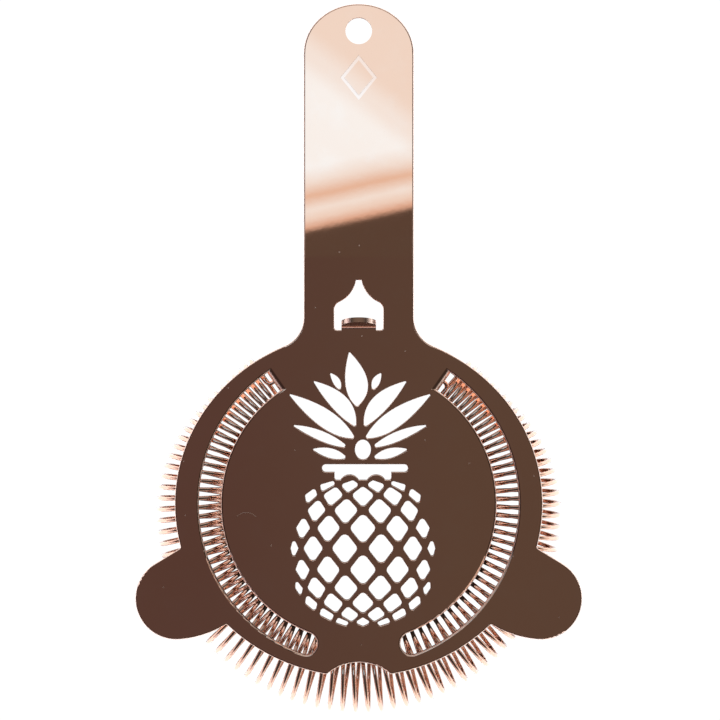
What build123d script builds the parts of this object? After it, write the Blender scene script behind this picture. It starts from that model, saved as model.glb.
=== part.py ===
"""Hawthorne cocktail strainer: one stamped plate and one toroidal coil spring.

+Z is up and the handle points along +Y.  The origin is the centre of the strainer's box, on the
surface that the spring rests on.  Every length is in millimetres and every angle in degrees.
"""
from build123d import *
from math import acos, atan2, copysign, cos, degrees, hypot, radians, sin, tan
import os

os.makedirs("parts", exist_ok=True)

# ---------------------------------------------------------------- driving dimensions
SHEET = 1.2  # thickness of the stamped sheet
EDGE_ROUND = 0.35  # polished rim of the outline
HOLE_ROUND = 0.2  # polished rim of the perforations

DISC_HALF_WIDTH = 44.2
DISC_HALF_LENGTH = 41.5

HANDLE_WIDTH = 26.4
HANDLE_END = 120.1  # tip of the handle, from the disc's centre
HANDLE_CROWN = 11.8  # length of the elliptical end
NECK_RADIUS = 7.5
HANG_HOLE_RADIUS = 3.2
HANG_HOLE_Y = 113.6

EAR_CENTRE = (43.8, -22.7)
EAR_RADIUS = 9.85
EAR_ARC_END = -94.0  # where the round leaves into the lower edge
EAR_SHOULDER = (40.1, -8.9)  # inside the disc, in line with the ear's straight upper edge
EAR_ROOT = (30.6, -28.1)  # inside the disc, where the ear's lower edge runs out
EAR_CORNER_ROUND = 0.5

NOTCH_RADIUS = 11.6
NOTCH_CREST_Y = -38.0  # crest of the front notch
NOTCH_CUSP_ROUND = 0.8

SLOT_INNER = 33.15
SLOT_OUTER = 38.45
SLOT_MID = (SLOT_INNER + SLOT_OUTER) / 2
SLOT_ROUND_END = -69.3  # centre of the slot's round end
SLOT_SQUARE_END = 55.0
SLOT_RIM_ROUND = 0.5
SLOT_CORNER_ROUND = 0.25

LUG_WIDTH = 5.0
LUG_ROOT_WIDTH = 6.6  # within the sheet's thickness, closing the slot's rims off
LUG_DEPTH = 5.9  # below the sheet
BEND_INSIDE = 0.5  # inside radius of every fold in the sheet
HOOK_DEPTH = 3.4  # spring hook, below the sheet
LUG_HOLE_RADIUS = 1.1
LUG_CORNER_ROUND = 1.6

WINDOW_BOTTOM = 41.8
WINDOW_HALF_WIDTH = 5.9
WINDOW_SIDE_TOP = 46.7
WINDOW_SHOULDER_RADIUS = 2.0
WINDOW_TOP = 53.8
WINDOW_TOP_HALF_WIDTH = 0.65
WINDOW_CORNER_ROUND = 0.7

TAB_WIDTH = 8.3
TAB_HEIGHT = 5.0  # above the sheet's top
TAB_LEAN = 13.0  # towards the handle
TAB_CROWN_ROUND = 4.0

STAMP_Y = 102.4
STAMP_HALF_WIDTH = 4.4
STAMP_HALF_LENGTH = 5.4
STAMP_LINE = 0.7
STAMP_DEPTH = 0.2

FRUIT_CENTRE = (1.0, -12.05)
FRUIT_HALF_WIDTH = 17.45
FRUIT_HALF_LENGTH = 18.0
LONGITUDE_STEP = 29.5
EYE_ROWS = (  # latitude of each row of eyes, how many it holds, and half the length of an eye
    (68, 4, 13.0),
    (52, 5, 13.4),
    (36, 4, 13.4),
    (20.5, 5, 13.4),
    (4.5, 6, 13.4),
    (-12, 5, 13.4),
    (-27, 6, 12.6),
    (-41, 5, 11.6),
    (-54, 4, 10.2),
    (-65.5, 3, 8.2),
)
EYE_HALF_LONGITUDE = 11.0
EYE_CORNER_SHARE = 0.5  # corner radius as a share of the eye's inscribed circle
SHOULDER_POWER = 0.34  # how full the fruit is above its widest row
FOOT_POWER = 0.6  # and below it
EDGE_ON_POWER = 0.4  # how fast the eyes shorten towards the fruit's sides

CROWN_X = 0.3  # the leaves mirror about this line
MIRRORED_LEAVES = (  # root, outer control point, tip, inner control point
    ((-1.0, 18.5), (-0.1, 26.8), (-11.3, 29.6), (-6.5, 21.6)),
    ((-1.2, 15.8), (-5.0, 23.4), (-17.2, 26.5), (-8.5, 15.4)),
    ((-2.7, 13.6), (-8.5, 18.7), (-16.4, 19.0), (-8.0, 13.5)),
    ((-3.1, 11.1), (-6.2, 14.5), (-11.5, 13.2), (-7.0, 9.9)),
)
LONE_LEAVES = (
    ((-0.4, 23.4), (5.6, 28.6), (-2.3, 36.6), (-4.9, 27.0)),
    ((-4.4, 27.4), (-3.6, 30.4), (-6.9, 31.5), (-6.4, 28.4)),
    ((3.3, 27.4), (5.5, 28.4), (5.4, 31.5), (2.4, 30.4)),
)
LEAF_ROOT_ROUND = 0.45
LEAF_TIP_ROUND = 0.2
BUD_RADII = (1.9, 2.35)
BUD_CENTRE = (1.0, 13.1)
COLLAR_CENTRE = (1.5, 8.65)
COLLAR_HALF_WIDTH = 10.3
COLLAR_BAND = 1.8
SKIRT_HALF_WIDTH = 6.8
SKIRT_LENGTH = 2.8
SKIRT_CORNER_ROUND = 0.25
SCALLOP_RADIUS = 2.5  # the skirt is cut back this far round the top row's eyes

WIRE = 1.0
COIL_RADIUS = 8.6  # from the coil's own axis to the centre of the wire
RING_RADIUS = 40.3  # of the coil's axis, at the sides
RING_SHIFT = 2.2  # the ring sits this much further forward than the disc
END_TUCK = 4.0  # how far the ring's ends draw in behind the disc
HALF_TURNS = 177
RING_HALF_SPAN = 142.5  # from the front to the hooked ends
PITCH_FALL = 0.34  # share of the front pitch that is lost at the ends
PITCH_POWER = 3.5
COIL_GAP = 0.3  # between the coil and the sheet
HOOK_BEND = 1.3
HOOK_TAIL = 3.0

# ---------------------------------------------------------------- placing
COIL_OUTER = COIL_RADIUS + WIRE / 2
PLATE_BOTTOM = 2 * COIL_OUTER + COIL_GAP
PLATE_TOP = PLATE_BOTTOM + SHEET
COIL_AXIS_Z = COIL_OUTER
SPRING_FRONT = RING_RADIUS + RING_SHIFT + COIL_OUTER
DISC_Y = (SPRING_FRONT - HANDLE_END) / 2
UNDERSIDE = Plane((0, DISC_Y, PLATE_BOTTOM))
TOPSIDE = Plane((0, DISC_Y, PLATE_TOP))


# the ear's straight upper edge leaves its round where it is tangent to it
EAR_REACH = (EAR_SHOULDER[0] - EAR_CENTRE[0], EAR_SHOULDER[1] - EAR_CENTRE[1])
EAR_ARC_START = degrees(atan2(EAR_REACH[1], EAR_REACH[0]) - acos(EAR_RADIUS / hypot(*EAR_REACH)))


def radial(angle):
    """Unit vector from the disc's centre at an angle, 0 to the right and 90 to the handle."""
    return Vector(cos(radians(angle)), sin(radians(angle)), 0)


def around_disc(radius, angle, height):
    """Point at a radius and angle about the disc's centre, at a height above the floor."""
    return Vector(0, DISC_Y, height) + radial(angle) * radius


def on_rim(vertex):
    """Whether a vertex of the outline lies on the disc's own ellipse."""
    return abs(hypot(vertex.X / DISC_HALF_WIDTH, vertex.Y / DISC_HALF_LENGTH) - 1) < 0.0001


def on_circle(vertex, radius):
    """Whether a vertex lies on a circle about the disc's centre."""
    return abs(hypot(vertex.X, vertex.Y) - radius) < 0.0001


def rims_of(cut):
    """Edges that a cut-out has left on the sheet's top."""
    marks = [edge.center() for edge in cut.sketch_local.edges()]
    top = strainer_plate.faces().filter_by(Axis.Z).sort_by(Axis.Z)[-1]
    rims = ShapeList()
    for wire in top.inner_wires():
        for edge in wire.edges():
            here = edge.center() - TOPSIDE.origin
            if any((here - mark).length < 0.01 for mark in marks):
                rims.append(edge)
    return rims


def fruit_point(longitude, latitude):
    """Point of the pineapple's body, seen square on."""
    fullness = SHOULDER_POWER if latitude > 0 else FOOT_POWER
    x = FRUIT_HALF_WIDTH * cos(radians(latitude)) ** fullness * sin(radians(longitude))
    y = FRUIT_HALF_LENGTH * sin(radians(latitude))
    return (FRUIT_CENTRE[0] + x, FRUIT_CENTRE[1] + y)


def eye_corners(longitude, latitude, half_length):
    """Four corners of one eye, anticlockwise from the right."""
    half_latitude = half_length * cos(radians(longitude)) ** EDGE_ON_POWER
    return [
        fruit_point(longitude + EYE_HALF_LONGITUDE, latitude),
        fruit_point(longitude, latitude + half_latitude),
        fruit_point(longitude - EYE_HALF_LONGITUDE, latitude),
        fruit_point(longitude, latitude - half_latitude),
    ]


def eye_longitudes(count):
    """Longitudes of a row of eyes, centred on the fruit's middle."""
    return [(place - (count - 1) / 2) * LONGITUDE_STEP for place in range(count)]


def draw_eye(longitude, latitude, half_length):
    """One eye of the pineapple, with rounded corners."""
    with BuildSketch(mode=Mode.PRIVATE) as eye:
        Polygon(*eye_corners(longitude, latitude, half_length), align=None)
        half_perimeter = sum(edge.length for edge in eye.edges()) / 2
        fillet(eye.vertices(), EYE_CORNER_SHARE * eye.face().area / half_perimeter)
    add(eye.sketch)


def draw_leaf(root, outer, tip, inner):
    """One leaf of the crown: two curves that meet at the root and at the tip."""
    with BuildSketch(mode=Mode.PRIVATE) as leaf:
        with BuildLine():
            Bezier(root, outer, tip)
            Bezier(tip, inner, root)
        make_face()
        fillet(leaf.vertices().sort_by_distance(root)[0], LEAF_ROOT_ROUND)
        fillet(leaf.vertices().sort_by_distance(tip)[0], LEAF_TIP_ROUND)
    add(leaf.sketch)


def station(half_turn):
    """Angle about the disc that the coil has reached after a number of half turns."""
    share = 2 * half_turn / HALF_TURNS - 1
    travel = abs(share) - PITCH_FALL * abs(share) ** PITCH_POWER / PITCH_POWER
    return -90 + copysign(RING_HALF_SPAN * travel / (1 - PITCH_FALL / PITCH_POWER), share)


def coil_point(half_turn):
    """Point of the coil level with its axis: outside it at even half turns, inside at odd ones."""
    angle = station(half_turn)
    side = 1 if half_turn % 2 == 0 else -1
    towards_handle = sin(radians(angle))
    tuck = END_TUCK * sin(radians(2 * angle)) ** 2 if towards_handle > 0 else 0
    ring = RING_RADIUS - RING_SHIFT * towards_handle - tuck
    return around_disc(ring + side * COIL_RADIUS, angle, COIL_AXIS_Z)


def quarter_turn(start, heading, turned, radius):
    """Quarter circle that leaves a point along one direction and arrives along another."""
    middle = start + heading * radius * sin(radians(45)) + turned * radius * (1 - cos(radians(45)))
    ThreePointArc(start, middle, start + (heading + turned) * radius)


def draw_hook(half_turn, towards_slot, towards_handle):
    """One end of the wire: up off the coil, level to the slot's middle, then through the lug."""
    end = coil_point(half_turn)
    rise = PLATE_BOTTOM - HOOK_DEPTH - COIL_AXIS_Z
    to_slot = (around_disc(SLOT_MID, station(half_turn), COIL_AXIS_Z) - end).length
    level = end + (Vector(0, 0, 1) + towards_slot) * rise
    bend = end + Vector(0, 0, rise) + towards_slot * (to_slot - HOOK_BEND)
    tail = bend + (towards_slot + towards_handle) * HOOK_BEND
    quarter_turn(end, Vector(0, 0, 1), towards_slot, rise)
    Line(level, bend)
    quarter_turn(bend, towards_slot, towards_handle, HOOK_BEND)
    Line(tail, tail + towards_handle * HOOK_TAIL)


# ---------------------------------------------------------------- folds in the sheet
FOLD_RADIUS = BEND_INSIDE + SHEET / 2  # to the middle of the sheet
SLOT_SWEEP = SLOT_SQUARE_END + degrees((SHEET + BEND_INSIDE) / SLOT_MID) - SLOT_ROUND_END
FOLD_OVERLAP = 1.5  # flat run left inside the plate
ALONG_SLOT = radial(SLOT_SQUARE_END + 90)
LUG_ORIGIN = around_disc(SLOT_MID, SLOT_SQUARE_END, PLATE_BOTTOM)
HOOK_ORIGIN = around_disc(SLOT_MID, SLOT_SQUARE_END, PLATE_BOTTOM - HOOK_DEPTH)

with BuildPart() as lug:
    with BuildSketch(Plane(LUG_ORIGIN, x_dir=ALONG_SLOT, z_dir=radial(SLOT_SQUARE_END))):
        with BuildLine():
            FilletPolyline(
                (SHEET + BEND_INSIDE + FOLD_OVERLAP, SHEET / 2),
                (SHEET / 2, SHEET / 2),
                (SHEET / 2, -LUG_DEPTH),
                radius=FOLD_RADIUS,
            )
        trace(line_width=SHEET)
    extrude(amount=LUG_ROOT_WIDTH / 2, both=True)
    with BuildSketch(Plane(LUG_ORIGIN, x_dir=radial(SLOT_SQUARE_END), z_dir=ALONG_SLOT)):
        with Locations((0, LUG_DEPTH / 2)):
            Rectangle(LUG_ROOT_WIDTH, LUG_DEPTH)
            Rectangle(LUG_WIDTH, LUG_DEPTH, mode=Mode.SUBTRACT)
    extrude(amount=2 * SHEET, mode=Mode.SUBTRACT)
    foot = lug.edges().group_by(Axis.Z)[0].group_by(SortBy.LENGTH)[0]
    fillet(foot, LUG_CORNER_ROUND)
    with BuildSketch(Plane(HOOK_ORIGIN, z_dir=ALONG_SLOT)):
        Circle(LUG_HOLE_RADIUS)
    extrude(amount=2 * SHEET, mode=Mode.SUBTRACT)

with BuildPart() as finger_tab:
    tab_rise = TAB_HEIGHT + SHEET / 2
    fold_y = DISC_Y + WINDOW_BOTTOM + FOLD_RADIUS
    with BuildSketch(Plane.YZ):
        with BuildLine():
            FilletPolyline(
                (fold_y - FOLD_RADIUS - FOLD_OVERLAP, PLATE_TOP - SHEET / 2),
                (fold_y, PLATE_TOP - SHEET / 2),
                (fold_y + tab_rise * tan(radians(TAB_LEAN)), PLATE_TOP - SHEET / 2 + tab_rise),
                radius=FOLD_RADIUS,
            )
        trace(line_width=SHEET)
    extrude(amount=TAB_WIDTH / 2, both=True)
    crown = finger_tab.faces().sort_by(Axis.Z)[-1].edges().group_by(SortBy.LENGTH)[0]
    fillet(crown, TAB_CROWN_ROUND)

# ---------------------------------------------------------------- strainer plate
with BuildPart() as strainer_plate:
    with BuildSketch(UNDERSIDE) as outline:
        with BuildLine():
            ear_arc = CenterArc(EAR_CENTRE, EAR_RADIUS, EAR_ARC_START, EAR_ARC_END - EAR_ARC_START)
            TangentArc(ear_arc @ 1, EAR_ROOT, tangent=ear_arc % 1)
            Polyline(EAR_ROOT, EAR_SHOULDER, ear_arc @ 0)
        make_face()
        mirror(about=Plane.YZ)
        Ellipse(DISC_HALF_WIDTH, DISC_HALF_LENGTH)
        with Locations((0, (HANDLE_END - HANDLE_CROWN) / 2)):
            Rectangle(HANDLE_WIDTH, HANDLE_END - HANDLE_CROWN)
        with Locations((0, HANDLE_END - HANDLE_CROWN)):
            Ellipse(HANDLE_WIDTH / 2, HANDLE_CROWN)
        with Locations((0, NOTCH_CREST_Y - NOTCH_RADIUS)):
            Circle(NOTCH_RADIUS, mode=Mode.SUBTRACT)
        necks = outline.vertices().filter_by(lambda v: DISC_HALF_LENGTH / 2 < v.Y < DISC_HALF_LENGTH)
        fillet(necks, NECK_RADIUS)
        ear_corners = outline.vertices().filter_by(lambda v: on_rim(v) and EAR_CENTRE[1] - 10 < v.Y < -5)
        fillet(ear_corners, EAR_CORNER_ROUND)
        cusps = outline.vertices().group_by(Axis.Y)[0]
        fillet(cusps, NOTCH_CUSP_ROUND)
    extrude(amount=SHEET)
    fillet(strainer_plate.faces().sort_by(Axis.Z)[-1].edges(), EDGE_ROUND)
    fillet(strainer_plate.faces().sort_by(Axis.Z)[0].edges(), EDGE_ROUND)

    # two pouring slots, concentric with the disc
    with BuildSketch(UNDERSIDE) as slots:
        with BuildLine():
            inner = CenterArc((0, 0), SLOT_INNER, SLOT_ROUND_END, SLOT_SWEEP)
            outer = CenterArc((0, 0), SLOT_OUTER, SLOT_ROUND_END, SLOT_SWEEP)
            Line(inner @ 1, outer @ 1)
            TangentArc(outer @ 0, inner @ 0, tangent=(outer % 0) * -1)
        make_face()
        mirror(about=Plane.YZ)
        fillet(slots.vertices().group_by(Axis.Y)[-1], SLOT_CORNER_ROUND)
        inner_corners = slots.vertices().filter_by(lambda v: v.Y > SLOT_MID / 2 and on_circle(v, SLOT_INNER))
        fillet(inner_corners, SLOT_CORNER_ROUND)
    extrude(amount=SHEET, mode=Mode.SUBTRACT)
    fillet(rims_of(slots), SLOT_RIM_ROUND)

    # window that the finger tab is folded out of
    with BuildSketch(UNDERSIDE) as window:
        with BuildLine():
            shoulder = JernArc((WINDOW_HALF_WIDTH, WINDOW_SIDE_TOP), (0, 1), WINDOW_SHOULDER_RADIUS, 66)
            Polyline((0, WINDOW_BOTTOM), (WINDOW_HALF_WIDTH, WINDOW_BOTTOM), shoulder @ 0)
            flare = TangentArc(shoulder @ 1, (WINDOW_TOP_HALF_WIDTH, WINDOW_TOP), tangent=shoulder % 1)
            Line(flare @ 1, (0, WINDOW_TOP))
            mirror(about=Plane.YZ)
        make_face()
        fillet(window.vertices().group_by(Axis.Y)[0], WINDOW_CORNER_ROUND)
    extrude(amount=SHEET, mode=Mode.SUBTRACT)

    # the pineapple: eyes on a lattice that wraps round an egg shape, then collar and crown
    with BuildSketch(UNDERSIDE) as pineapple:
        with Locations((FRUIT_CENTRE[0], COLLAR_CENTRE[1] - SKIRT_LENGTH / 2)):
            Rectangle(2 * SKIRT_HALF_WIDTH, SKIRT_LENGTH)
        top_latitude, top_count, _ = EYE_ROWS[0]
        with Locations([fruit_point(longitude, top_latitude) for longitude in eye_longitudes(top_count)]):
            Circle(SCALLOP_RADIUS, mode=Mode.SUBTRACT)
        fillet(pineapple.vertices(), SKIRT_CORNER_ROUND)
        with Locations(COLLAR_CENTRE):
            SlotOverall(2 * COLLAR_HALF_WIDTH, COLLAR_BAND)
        for latitude, count, half_length in EYE_ROWS:
            for longitude in eye_longitudes(count):
                draw_eye(longitude, latitude, half_length)
        with Locations(BUD_CENTRE):
            Ellipse(*BUD_RADII)
        for leaf in LONE_LEAVES:
            draw_leaf(*leaf)
        with BuildSketch(mode=Mode.PRIVATE) as crown:
            for leaf in MIRRORED_LEAVES:
                draw_leaf(*leaf)
            mirror(about=Plane.YZ)
        add(crown.sketch.moved(Location((CROWN_X, 0, 0))))
    extrude(amount=SHEET, mode=Mode.SUBTRACT)
    fillet(rims_of(window) + rims_of(pineapple), HOLE_ROUND)
    with Locations(UNDERSIDE):
        with Locations((0, HANG_HOLE_Y)):
            Hole(HANG_HOLE_RADIUS)
    with BuildSketch(TOPSIDE):
        with Locations((0, STAMP_Y)):
            Polygon(
                (STAMP_HALF_WIDTH, 0),
                (0, STAMP_HALF_LENGTH),
                (-STAMP_HALF_WIDTH, 0),
                (0, -STAMP_HALF_LENGTH),
            )
            offset(amount=-STAMP_LINE, mode=Mode.SUBTRACT)
    extrude(amount=-STAMP_DEPTH, mode=Mode.SUBTRACT)
    add(lug.part)
    add(lug.part.mirror(Plane.YZ))
    add(finger_tab.part)
strainer_plate.part.label = "strainer_plate"
export_step(strainer_plate.part, "parts/strainer_plate.step")

# ---------------------------------------------------------------- coil spring
with BuildPart() as coil_spring:
    with BuildLine() as centreline:
        left = station(0)
        draw_hook(0, radial(left) * -1, radial(left - 90))
        for half_turn in range(HALF_TURNS):
            start = coil_point(half_turn)
            finish = coil_point(half_turn + 1)
            depth = (finish - start).length / 2
            crest = Vector(0, 0, -depth if half_turn % 2 == 0 else depth)
            ThreePointArc(start, (start + finish) / 2 + crest, finish)
        right = station(HALF_TURNS)
        draw_hook(HALF_TURNS, radial(right), radial(right + 90))
    path = centreline.wire()
    with BuildSketch(Plane(path @ 0, z_dir=path % 0)):
        Circle(WIRE / 2)
    sweep(path=path)
coil_spring.part.label = "coil_spring"
export_step(coil_spring.part, "parts/coil_spring.step")
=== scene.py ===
"""Looks of the hawthorne strainer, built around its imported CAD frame.  Metres, +Z up, handle along +Y."""
import bpy
from math import copysign, cos, pi, radians, sin
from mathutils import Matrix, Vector


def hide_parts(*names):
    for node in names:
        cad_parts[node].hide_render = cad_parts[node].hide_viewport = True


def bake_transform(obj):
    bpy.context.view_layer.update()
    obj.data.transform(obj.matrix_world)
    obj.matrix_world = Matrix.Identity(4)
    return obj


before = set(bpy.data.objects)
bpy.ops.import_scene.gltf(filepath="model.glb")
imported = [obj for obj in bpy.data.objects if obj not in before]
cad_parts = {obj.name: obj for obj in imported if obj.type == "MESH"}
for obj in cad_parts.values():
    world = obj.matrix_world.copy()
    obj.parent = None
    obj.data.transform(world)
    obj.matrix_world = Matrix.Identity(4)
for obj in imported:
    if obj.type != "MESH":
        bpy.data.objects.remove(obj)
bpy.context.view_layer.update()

MM = 0.001

# ---------------------------------------------------------------- the strainer's dimensions, in millimetres
WIRE = 1.0
COIL_RADIUS = 8.6
RING_RADIUS = 40.3
RING_SHIFT = 2.2
END_TUCK = 4.0
HALF_TURNS = 177
RING_HALF_SPAN = 142.5
PITCH_FALL = 0.34
PITCH_POWER = 3.5
HOOK_DEPTH = 3.4
HOOK_BEND = 1.3
HOOK_TAIL = 3.0
SLOT_MID = 35.8
DISC_Y = -34.25
COIL_AXIS_Z = COIL_RADIUS + WIRE / 2
PLATE_BOTTOM = 2 * COIL_AXIS_Z + 0.3
PLATE_TOP = PLATE_BOTTOM + 1.2

WIRE_SIDES = 14
COIL_STEPS = 14  # along each half turn of the coil
HOOK_RISE_STEPS = 10
HOOK_BEND_STEPS = 8
TIP_ANGLES = (0.0, 0.6, 1.1, 1.45)  # rings of the wire's rounded tip, in radians from its rim


# ---------------------------------------------------------------- node helpers
def new_material(name):
    """A node material with a fresh Principled shader, and its nodes and links."""
    material = bpy.data.materials.new(name)
    material.use_nodes = True
    return material, material.node_tree.nodes, material.node_tree.links


def node(nodes, kind, **values):
    """A node of one kind. A name that starts with _ sets a property, and any other sets an input."""
    made = nodes.new(kind)
    for key, value in values.items():
        if key.startswith("_"):
            setattr(made, key[1:], value)
        else:
            made.inputs[key.replace("_", " ")].default_value = value
    return made


def object_place(nodes):
    """Where a point lies on its own object, in metres."""
    return nodes.new("ShaderNodeTexCoord").outputs["Object"]


def axes_of(nodes, links, vector):
    """The X, Y and Z outputs of a vector."""
    axes = nodes.new("ShaderNodeSeparateXYZ")
    links.new(vector, axes.inputs[0])
    return axes.outputs


def noise(nodes, links, vector, scale, detail=3.0, rough=0.5):
    made = node(nodes, "ShaderNodeTexNoise", Scale=scale, Detail=detail, Roughness=rough)
    links.new(vector, made.inputs["Vector"])
    return made.outputs["Fac"]


def ramp(nodes, links, value, *stops, interpolation="LINEAR"):
    """A colour ramp through stops of (place, grey or colour)."""
    made = nodes.new("ShaderNodeValToRGB")
    made.color_ramp.interpolation = interpolation
    elements = made.color_ramp.elements
    while len(elements) < len(stops):
        elements.new(0.5)
    for element, (place, colour) in zip(elements, stops):
        element.position = place
        element.color = (*colour, 1) if isinstance(colour, tuple) else (colour, colour, colour, 1)
    links.new(value, made.inputs["Fac"])
    return made.outputs["Color"]


def math_node(nodes, links, operation, first, second=None):
    made = nodes.new("ShaderNodeMath")
    made.operation = operation
    for socket, value in zip(made.inputs, (first, second)):
        if value is None:
            continue
        if isinstance(value, (int, float)):
            socket.default_value = value
        else:
            links.new(value, socket)
    return made.outputs[0]


def product(nodes, links, first, second):
    return math_node(nodes, links, "MULTIPLY", first, second)


def total(nodes, links, first, *others):
    for other in others:
        first = math_node(nodes, links, "ADD", first, other)
    return first


def distance(nodes, links, value, centre):
    """How far a value is from a centre, without its sign."""
    return math_node(nodes, links, "ABSOLUTE", math_node(nodes, links, "SUBTRACT", value, centre))


def mix_colour(nodes, links, factor, first, second, blend="MIX"):
    made = nodes.new("ShaderNodeMix")
    made.data_type = "RGBA"
    made.blend_type = blend
    for socket, value in ((made.inputs[0], factor), (made.inputs[6], first), (made.inputs[7], second)):
        if isinstance(value, (int, float)):
            socket.default_value = value
        elif isinstance(value, tuple):
            socket.default_value = (*value, 1)
        else:
            links.new(value, socket)
    return made.outputs[2]


# ---------------------------------------------------------------- rose copper
SHEET = {
    "bright": (0.93, 0.475, 0.30),
    "worn": (0.92, 0.50, 0.33),
    "tarnished": (0.89, 0.43, 0.26),
    "buffing": (1.0, 0.03, 1.0),  # polishing marks run along Y
    "roughness": 0.014,
    "hair_relief": 0.0006,
}
SPRING_WIRE = {
    "bright": (0.90, 0.56, 0.41),
    "worn": (0.90, 0.56, 0.41),
    "tarnished": (0.82, 0.46, 0.31),
    "buffing": (0.2, 0.2, 1.0),
    "roughness": 0.06,
    "hair_relief": 0.003,
}
# the rims' lighter colour is a painted highlight on the rounded edges
RIM_HIGHLIGHT_COPPER = (0.97, 0.66, 0.52)
# the etched lozenge mark is lighter partly as a painted highlight of its groove walls
ETCHED_MARK_AND_HIGHLIGHT_COPPER = (0.98, 0.56, 0.39)
DUST = (0.82, 0.42, 0.27)

# sizes of the patterns, in cells to the metre
CLOUD_SCALE = 34
WORN_SCALE = 160
DUST_SCALE = 190
SMUDGE_SCALE = 60
HAIR_SCALE = 900
LONG_HAIR_SCALE = 260
WAVE_SCALE = 28
PEEL_SCALE = 620

# masks cut out of the patterns, as stops of (pattern value, mask)
TARNISH_STOPS = ((0.36, 0.0), (0.70, 0.35))
WORN_STOPS = ((0.50, 0.0), (0.78, 0.5))
LONG_HAIR_STOPS = ((0.64, 0.0), (0.70, 1.0))
SATIN_RIM_AND_HIGHLIGHT_STOPS = ((0.30, 1.0), (0.84, 1.0), (0.93, 0.0))  # by the upright part of the normal

# what each mark adds to the roughness
SMUDGE_ROUGHNESS = 0.008
HAIR_ROUGHNESS = 0.012
DUST_ROUGHNESS = 0.40
RIM_ROUGHNESS = 0.30
MARK_ROUGHNESS = 0.03

# relief, as shares of its full depth
RELIEF_DEPTH = 0.0001
WAVE_RELIEF = 0.20
PEEL_RELIEF = 0.004

MARK_Y = (DISC_Y + 102.4) * MM
MARK_HALF_WIDTH = 4.4 * MM
MARK_HALF_LENGTH = 5.4 * MM
MARK_LINE = 0.205  # the outline's width, as a share of the lozenge
MARK_BLUR = 0.04
SCRATCH_X = -27.0 * MM
SCRATCH_Y = (DISC_Y - 5.0) * MM
SCRATCH_RADIUS = 3.0 * MM
SCRATCH_WIDTH = 0.2 * MM
SCRATCH_FROM = 0.62  # lowest point of the arc above its centre, as a share of the radius
SCRATCH_SHARE = 0.6  # how strong it is beside a speck
DUST_RADIUS = 0.035  # of a speck, in cells
DUST_SHARE = 0.16  # of cells that hold a speck
CLEAN_FROM = 28.0 * MM  # no dust beyond this, towards the handle's tip


def lozenge_mark_and_highlight(nodes, links, place):
    """Mask of the plain lozenge outline near the handle's tip: an etched mark, whose lighter colour also
    paints the highlight of its groove walls.
    """
    axes = axes_of(nodes, links, place)
    x = math_node(nodes, links, "ABSOLUTE", axes["X"])
    y = distance(nodes, links, axes["Y"], MARK_Y)
    x = math_node(nodes, links, "DIVIDE", x, MARK_HALF_WIDTH)
    y = math_node(nodes, links, "DIVIDE", y, MARK_HALF_LENGTH)
    share = total(nodes, links, x, y)
    inner = 1 - MARK_LINE
    return ramp(nodes, links, share, (inner - MARK_BLUR, 0.0), (inner, 1.0), (0.99, 1.0), (1.0, 0.0))


def arc_scratch(nodes, links, place):
    """Mask of one faint bowed scratch on the left of the disc."""
    axes = axes_of(nodes, links, place)
    x = math_node(nodes, links, "SUBTRACT", axes["X"], SCRATCH_X)
    y = math_node(nodes, links, "SUBTRACT", axes["Y"], SCRATCH_Y)
    squares = total(nodes, links, product(nodes, links, x, x), product(nodes, links, y, y))
    away = distance(nodes, links, math_node(nodes, links, "SQRT", squares), SCRATCH_RADIUS)
    thin = math_node(nodes, links, "LESS_THAN", away, SCRATCH_WIDTH / 2)
    upper = math_node(nodes, links, "GREATER_THAN", y, SCRATCH_RADIUS * SCRATCH_FROM)
    return product(nodes, links, thin, upper)


def dust_mask(nodes, links, place):
    """Mask of a few tiny specks on the disc and the handle's root, and of the scratch."""
    cells = node(nodes, "ShaderNodeTexVoronoi", _voronoi_dimensions="2D", Scale=DUST_SCALE, Randomness=1)
    links.new(place, cells.inputs["Vector"])
    near = math_node(nodes, links, "LESS_THAN", cells.outputs["Distance"], DUST_RADIUS)
    pick = nodes.new("ShaderNodeSeparateColor")
    links.new(cells.outputs["Color"], pick.inputs[0])
    chosen = math_node(nodes, links, "LESS_THAN", pick.outputs[0], DUST_SHARE)
    on_disc = math_node(nodes, links, "LESS_THAN", axes_of(nodes, links, place)["Y"], CLEAN_FROM)
    specks = product(nodes, links, product(nodes, links, near, chosen), on_disc)
    scratch = product(nodes, links, arc_scratch(nodes, links, place), SCRATCH_SHARE)
    return math_node(nodes, links, "MAXIMUM", specks, scratch)


def satin_rim_and_highlight_mask(nodes, links):
    """Mask of the rounded rims and cut edges: how far the true surface leans away from flat. It gives them
    a rougher satin finish and a lighter colour, which is a painted highlight.
    """
    normal = axes_of(nodes, links, nodes.new("ShaderNodeNewGeometry").outputs["True Normal"])
    up = math_node(nodes, links, "ABSOLUTE", normal["Z"])
    return ramp(nodes, links, up, *SATIN_RIM_AND_HIGHLIGHT_STOPS)


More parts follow.
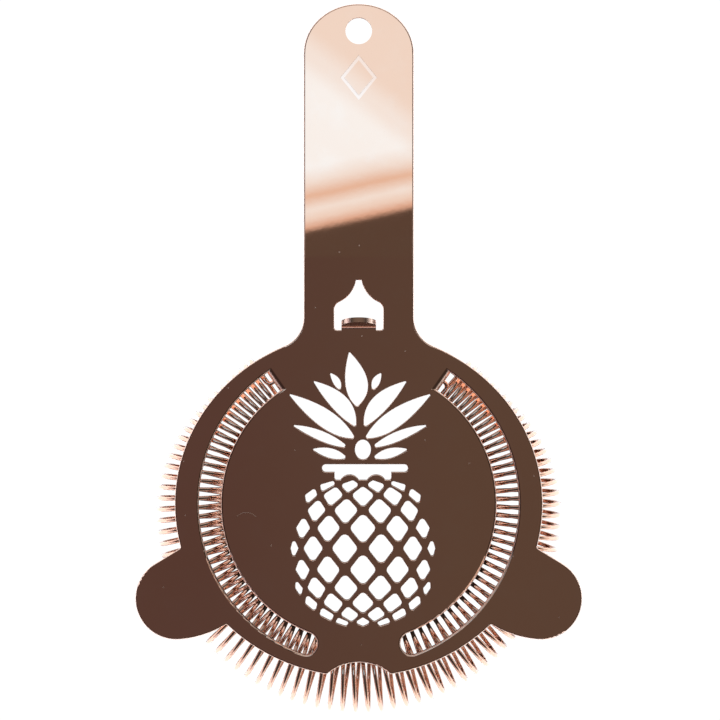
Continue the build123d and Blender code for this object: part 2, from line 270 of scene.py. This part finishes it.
def plated_copper(name, finish, sheet):
    """Mirror copper plating: cloudy tarnish, hairline polishing marks and orange peel.

    A sheet also has dust specks, satin rims with a painted highlight, and the lozenge mark, which is partly
    a painted highlight."""
    material, nodes, links = new_material(name)
    shader = nodes["Principled BSDF"]
    shader.inputs["Metallic"].default_value = 1.0
    place = object_place(nodes)

    # colour: slow clouds of tarnish, with faint worn patches
    tarnish = ramp(nodes, links, noise(nodes, links, place, CLOUD_SCALE, 4, 0.55), *TARNISH_STOPS)
    colour = mix_colour(nodes, links, tarnish, finish["bright"], finish["tarnished"])
    worn = ramp(nodes, links, noise(nodes, links, place, WORN_SCALE, 5, 0.6), *WORN_STOPS)
    colour = mix_colour(nodes, links, worn, colour, finish["worn"])

    # roughness: smudges and long polishing marks, drawn out along the buffing direction
    buffing = node(nodes, "ShaderNodeMapping", Scale=finish["buffing"])
    links.new(place, buffing.inputs["Vector"])
    along_marks = buffing.outputs["Vector"]
    long_hairs = noise(nodes, links, along_marks, LONG_HAIR_SCALE, 2, 0.7)
    long_hairs = ramp(nodes, links, long_hairs, *LONG_HAIR_STOPS)
    smudges = noise(nodes, links, place, SMUDGE_SCALE, 3, 0.6)
    smudges = ramp(nodes, links, smudges, (0.40, 0.0), (0.72, SMUDGE_ROUGHNESS))
    scratched = product(nodes, links, long_hairs, HAIR_ROUGHNESS)
    roughness = total(nodes, links, smudges, finish["roughness"], scratched)

    if sheet:
        for mask, mark_colour, added in (
            (dust_mask(nodes, links, place), DUST, DUST_ROUGHNESS),
            # rims: a rougher satin finish, and a lighter colour that paints their highlight
            (satin_rim_and_highlight_mask(nodes, links), RIM_HIGHLIGHT_COPPER, RIM_ROUGHNESS),
            # lozenge: an etched mark, lighter partly as a painted highlight of its groove walls
            (lozenge_mark_and_highlight(nodes, links, place), ETCHED_MARK_AND_HIGHLIGHT_COPPER, MARK_ROUGHNESS),
        ):
            colour = mix_colour(nodes, links, mask, colour, mark_colour)
            roughness = total(nodes, links, roughness, product(nodes, links, mask, added))
    links.new(colour, shader.inputs["Base Color"])
    links.new(roughness, shader.inputs["Roughness"])

    # relief: slow waviness, orange peel of the plating, and fine hairlines
    wave = noise(nodes, links, place, WAVE_SCALE, 1, 0.4)
    peel = noise(nodes, links, place, PEEL_SCALE, 3, 0.6)
    hairs = noise(nodes, links, along_marks, HAIR_SCALE, 2, 0.6)
    height = total(
        nodes, links,
        product(nodes, links, wave, WAVE_RELIEF),
        product(nodes, links, peel, PEEL_RELIEF),
        product(nodes, links, hairs, finish["hair_relief"]),
    )
    bump = node(nodes, "ShaderNodeBump", Strength=1.0, Distance=RELIEF_DEPTH)
    links.new(height, bump.inputs["Height"])
    links.new(bump.outputs["Normal"], shader.inputs["Normal"])
    return material


plate_copper = plated_copper("polished_copper_sheet", SHEET, True)
wire_copper = plated_copper("bright_copper_wire", SPRING_WIRE, False)

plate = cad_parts["strainer_plate"]
plate.data.materials.clear()
plate.data.materials.append(plate_copper)


# ---------------------------------------------------------------- the spring's wire
def radial(angle):
    return Vector((cos(radians(angle)), sin(radians(angle)), 0))


def around_disc(radius, angle, height):
    return Vector((0, DISC_Y, height)) + radial(angle) * radius


def station(half_turn):
    """Angle about the disc that the coil has reached after a number of half turns."""
    share = 2 * half_turn / HALF_TURNS - 1
    travel = abs(share) - PITCH_FALL * abs(share) ** PITCH_POWER / PITCH_POWER
    return -90 + copysign(RING_HALF_SPAN * travel / (1 - PITCH_FALL / PITCH_POWER), share)


def coil_point(half_turn):
    """Point of the coil level with its axis: outside it at even half turns, inside at odd ones."""
    angle = station(half_turn)
    side = 1 if half_turn % 2 == 0 else -1
    towards_handle = sin(radians(angle))
    tuck = END_TUCK * sin(radians(2 * angle)) ** 2 if towards_handle > 0 else 0
    ring = RING_RADIUS - RING_SHIFT * towards_handle - tuck
    return around_disc(ring + side * COIL_RADIUS, angle, COIL_AXIS_Z)


def arc(start, heading, turned, radius, angle, steps):
    """Points of an arc that leaves a point along one direction and turns towards another."""
    turns = [angle * step / steps for step in range(steps + 1)]
    return [start + heading * radius * sin(t) + turned * radius * (1 - cos(t)) for t in turns]


def hook(half_turn, towards_slot, towards_handle):
    """One end of the wire, from the coil to the tail that passes through its lug."""
    up = Vector((0, 0, 1))
    end = coil_point(half_turn)
    rise = PLATE_BOTTOM - HOOK_DEPTH - COIL_AXIS_Z
    to_slot = (around_disc(SLOT_MID, station(half_turn), COIL_AXIS_Z) - end).length
    points = arc(end, up, towards_slot, rise, pi / 2, HOOK_RISE_STEPS)
    bend = end + up * rise + towards_slot * (to_slot - HOOK_BEND)
    points += arc(bend, towards_slot, towards_handle, HOOK_BEND, pi / 2, HOOK_BEND_STEPS)
    points.append(points[-1] + towards_handle * HOOK_TAIL)
    return points


def spring_route():
    """The wire's centre line from the left hook's tip to the right hook's tip."""
    left = station(0)
    route = hook(0, -radial(left), radial(left - 90))[::-1]
    for half_turn in range(HALF_TURNS):
        start, finish = coil_point(half_turn), coil_point(half_turn + 1)
        way = Vector((0, 0, -1 if half_turn % 2 == 0 else 1))
        chord = finish - start
        route += arc(start, way, chord.normalized(), chord.length / 2, pi, COIL_STEPS)[1:]
    right = station(HALF_TURNS)
    route += hook(HALF_TURNS, radial(right), radial(right + 90))[1:]
    return route


def wire_mesh(name, route, radius):
    """A round wire along a route in millimetres, with rounded ends and no twist between its rings."""
    ends = []
    for tip, inward in ((route[0], route[1]), (route[-1], route[-2])):
        direction = (tip - inward).normalized()
        ends.append([(tip - direction * radius * (1 - sin(a)), cos(a)) for a in TIP_ANGLES])
    stations = ends[0][::-1] + [(point, 1.0) for point in route[1:-1]] + ends[1]
    points = [point for point, _ in stations]
    side = (points[1] - points[0]).orthogonal().normalized()
    vertices, faces = [], []
    for i, (point, share) in enumerate(stations):
        along = (points[min(i + 1, len(points) - 1)] - points[max(i - 1, 0)]).normalized()
        side = (side - along * side.dot(along)).normalized()
        other = along.cross(side)
        for k in range(WIRE_SIDES):
            turn = 2 * pi * k / WIRE_SIDES
            vertices.append((point + (side * cos(turn) + other * sin(turn)) * radius * share) * MM)
    for i in range(len(stations) - 1):
        for k in range(WIRE_SIDES):
            a, b = i * WIRE_SIDES + k, i * WIRE_SIDES + (k + 1) % WIRE_SIDES
            faces.append((a, b, b + WIRE_SIDES, a + WIRE_SIDES))
    faces.append(tuple(range(WIRE_SIDES))[::-1])
    faces.append(tuple((len(stations) - 1) * WIRE_SIDES + k for k in range(WIRE_SIDES)))
    mesh = bpy.data.meshes.new(name)
    mesh.from_pydata([tuple(v) for v in vertices], [], faces)
    mesh.polygons.foreach_set("use_smooth", [True] * len(faces))
    mesh.update()
    made = bpy.data.objects.new(name, mesh)
    bpy.context.scene.collection.objects.link(made)
    return made


spring = wire_mesh("coil_spring_wire", spring_route(), WIRE / 2)
spring.data.materials.append(wire_copper)
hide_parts("coil_spring")
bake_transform(spring)

# ---------------------------------------------------------------- floor, and a black card as painted shadow under the disc
FLOOR_SIZE = 8
FLOOR_Z = -0.0002  # just under the spring
FLOOR_WHITE = 1.05  # what the camera sees of the floor, beyond pure white
FLOOR_MOTTLE_SCALE = 8  # cells to the metre
FLOOR_TINTS = ((0.3, (0.80, 0.88, 0.95)), (0.7, (0.83, 0.90, 0.97)))
# the black card below is painted shadow under the disc; these are its size, place and faint greys
PAINTED_SHADOW_CARD_MOTTLE_SCALE = 300
PAINTED_SHADOW_CARD_GREYS = ((0.3, 0.015), (0.7, 0.03))
PAINTED_SHADOW_CARD_RADIUS = 0.040
PAINTED_SHADOW_CARD_Z = -0.00018

floor_material, nodes, links = new_material("white_sweep")
floor_shader = nodes["Principled BSDF"]
floor_shader.inputs["Roughness"].default_value = 0.7
floor_shader.inputs["Specular IOR Level"].default_value = 0.2
mottle = ramp(nodes, links, noise(nodes, links, object_place(nodes), FLOOR_MOTTLE_SCALE), *FLOOR_TINTS)
links.new(mottle, floor_shader.inputs["Base Color"])
backlit = node(nodes, "ShaderNodeEmission", Strength=FLOOR_WHITE)
rays = nodes.new("ShaderNodeLightPath")
shown = nodes.new("ShaderNodeMixShader")
links.new(rays.outputs["Is Camera Ray"], shown.inputs[0])
links.new(floor_shader.outputs[0], shown.inputs[1])
links.new(backlit.outputs[0], shown.inputs[2])
links.new(shown.outputs[0], nodes["Material Output"].inputs["Surface"])
bpy.ops.mesh.primitive_plane_add(size=FLOOR_SIZE, location=(0, 0, FLOOR_Z))
floor = bpy.context.object
floor.name = "floor"
floor.data.materials.append(floor_material)

# a black card lies under the disc, out of the camera's sight, as painted shadow: it stands for the shade
# beneath the disc and keeps the inside of the spring dark
painted_shadow_card_material, nodes, links = new_material("painted_shadow_card")
painted_shadow_card_shader = nodes["Principled BSDF"]
painted_shadow_card_shader.inputs["Roughness"].default_value = 0.8
painted_shadow_card_grey = ramp(nodes, links, noise(nodes, links, object_place(nodes), PAINTED_SHADOW_CARD_MOTTLE_SCALE), *PAINTED_SHADOW_CARD_GREYS)
links.new(painted_shadow_card_grey, painted_shadow_card_shader.inputs["Base Color"])
bpy.ops.mesh.primitive_circle_add(
    vertices=64, radius=PAINTED_SHADOW_CARD_RADIUS, fill_type="NGON", location=(0, DISC_Y * MM, PAINTED_SHADOW_CARD_Z)
)
painted_shadow_card = bpy.context.object
painted_shadow_card.name = "painted_shadow_card"
painted_shadow_card.data.materials.append(painted_shadow_card_material)
painted_shadow_card.visible_camera = False

# ---------------------------------------------------------------- softbox over the handle
CAMERA_HEIGHT = 0.6  # above the sheet's top
CAMERA_X = 0.0003
CAMERA_Y = 0.00035
FRAME_WIDTH = 0.1728  # what the camera sees at the sheet's top
SENSOR = 36
SOFTBOX_HEIGHT = 0.98  # above the sheet's top
SOFTBOX_Y = 0.22
SOFTBOX_SIZE = (0.44, 0.31)
SOFTBOX_PEAK = 2.8
SPREAD = 1 + SOFTBOX_HEIGHT / CAMERA_HEIGHT  # the softbox's size over that of its image on the sheet

# the softbox's near edge, by where its mirror image falls on the handle (mm from the view's middle):
# a quick edge, one bright tube behind the cloth, a dimmer seam, then the full brightness
NEAR_EDGE = (
    (33.1, (0.11, 0.11, 0.11)),
    (34.5, (0.80, 0.80, 0.82)),
    (36.2, (0.93, 1.28, 1.60)),
    (38.6, (0.98, 1.58, 2.18)),
    (41.9, (0.86, 0.96, 1.02)),
    (45.2, (0.97, 1.54, 2.12)),
    (49.0, (1.03, 1.87, 2.80)),
)
NEAR_SLOPE = -0.22
FAR_EDGE = ((57.5, 0.0), (64.5, 0.5), (72.0, 1.0))
FAR_SLOPE = 0.75
FAR_COLOUR = (0.945, 1.39, 1.80)
SPAN = 100.0  # millimetres of image that a whole ramp covers


def unit(colour):
    return tuple(c / SOFTBOX_PEAK for c in colour)


softbox_material = bpy.data.materials.new("softbox_light")
softbox_material.use_nodes = True
nodes, links = softbox_material.node_tree.nodes, softbox_material.node_tree.links
nodes.clear()
position = axes_of(nodes, links, nodes.new("ShaderNodeNewGeometry").outputs["Position"])
to_span = 1000 / SPREAD / SPAN
across = product(nodes, links, math_node(nodes, links, "SUBTRACT", position["X"], CAMERA_X), to_span)
along = product(nodes, links, math_node(nodes, links, "SUBTRACT", position["Y"], CAMERA_Y), to_span)
near = total(nodes, links, along, product(nodes, links, across, NEAR_SLOPE))
far = total(nodes, links, along, product(nodes, links, across, FAR_SLOPE))
near_colour = ramp(nodes, links, near, *[(mm / SPAN, unit(colour)) for mm, colour in NEAR_EDGE])
far_share = ramp(nodes, links, far, *[(mm / SPAN, share) for mm, share in FAR_EDGE], interpolation="EASE")
glow = mix_colour(nodes, links, far_share, near_colour, unit(FAR_COLOUR))
emission = node(nodes, "ShaderNodeEmission", Strength=SOFTBOX_PEAK)
links.new(glow, emission.inputs["Color"])
links.new(emission.outputs[0], nodes.new("ShaderNodeOutputMaterial").inputs["Surface"])

softbox_place = (0, SOFTBOX_Y, SOFTBOX_HEIGHT + PLATE_TOP * MM)
bpy.ops.mesh.primitive_plane_add(size=1, location=softbox_place, rotation=(pi, 0, 0))
softbox = bpy.context.object
softbox.name = "softbox"
softbox.scale = (*SOFTBOX_SIZE, 1)
softbox.data.materials.append(softbox_material)
softbox.visible_camera = False
softbox.visible_shadow = False

# ---------------------------------------------------------------- studio dome, by height, side and depth
DOME = (
    (0.00, (0.95, 1.0, 1.0)),
    (0.22, (0.80, 0.88, 0.92)),
    (0.30, (0.50, 0.53, 0.56)),
    (0.38, (0.10, 0.10, 0.11)),
    (0.55, (0.06, 0.06, 0.06)),
    (0.75, (0.045, 0.045, 0.045)),
    (0.945, (0.045, 0.045, 0.045)),
    (0.985, (0.112, 0.112, 0.112)),
    (1.0, (0.112, 0.112, 0.112)),
)
LEFT_TINT = ((0.44, (0.91, 0.80, 0.90)), (0.54, (1.0, 1.0, 1.0)))
FAR_WALL = ((0.34, (0.0, 0.0, 0.0)), (0.62, (0.42, 0.48, 0.52)))

world = bpy.data.worlds.new("studio")
bpy.context.scene.world = world
world.use_nodes = True
nodes, links = world.node_tree.nodes, world.node_tree.links
sky = axes_of(nodes, links, nodes.new("ShaderNodeTexCoord").outputs["Generated"])
dome = ramp(nodes, links, sky["Z"], *DOME)
tint = ramp(nodes, links, total(nodes, links, sky["X"], 0.5), *LEFT_TINT)
dome = mix_colour(nodes, links, 1.0, dome, tint, "MULTIPLY")
dome = mix_colour(nodes, links, 1.0, dome, ramp(nodes, links, sky["Y"], *FAR_WALL), "LIGHTEN")
rays = nodes.new("ShaderNodeLightPath")
seen = mix_colour(nodes, links, rays.outputs["Is Camera Ray"], dome, (1.0, 1.0, 1.0))
background = nodes["Background"]
links.new(seen, background.inputs["Color"])
background.inputs["Strength"].default_value = 1.0

# ---------------------------------------------------------------- fill lamps and camera
FILL_X = 0.35
FILL_Z = 1.3
FILL_SIZE = 0.5
FILL_POWER = 15


def fill_lamp(name, x):
    """A soft square lamp overhead, aimed at the strainer and left out of reflections."""
    data = bpy.data.lights.new(name, "AREA")
    data.shape = "SQUARE"
    data.size = FILL_SIZE
    data.energy = FILL_POWER
    lamp = bpy.data.objects.new(name, data)
    lamp.location = (x, 0, FILL_Z)
    lamp.rotation_euler = (-lamp.location).to_track_quat("-Z", "Y").to_euler()
    lamp.visible_glossy = False
    bpy.context.scene.collection.objects.link(lamp)


fill_lamp("fill_left", -FILL_X)
fill_lamp("fill_right", FILL_X)

camera_data = bpy.data.cameras.new("camera")
camera = bpy.data.objects.new("camera", camera_data)
bpy.context.scene.collection.objects.link(camera)
bpy.context.scene.camera = camera
camera.location = (CAMERA_X, CAMERA_Y, CAMERA_HEIGHT + PLATE_TOP * MM)
camera_data.sensor_width = SENSOR
camera_data.lens = SENSOR * CAMERA_HEIGHT / FRAME_WIDTH
camera_data.clip_start, camera_data.clip_end = 0.01, 20

bpy.context.scene.view_settings.view_transform = "Standard"
bpy.context.scene.view_settings.look = "None"
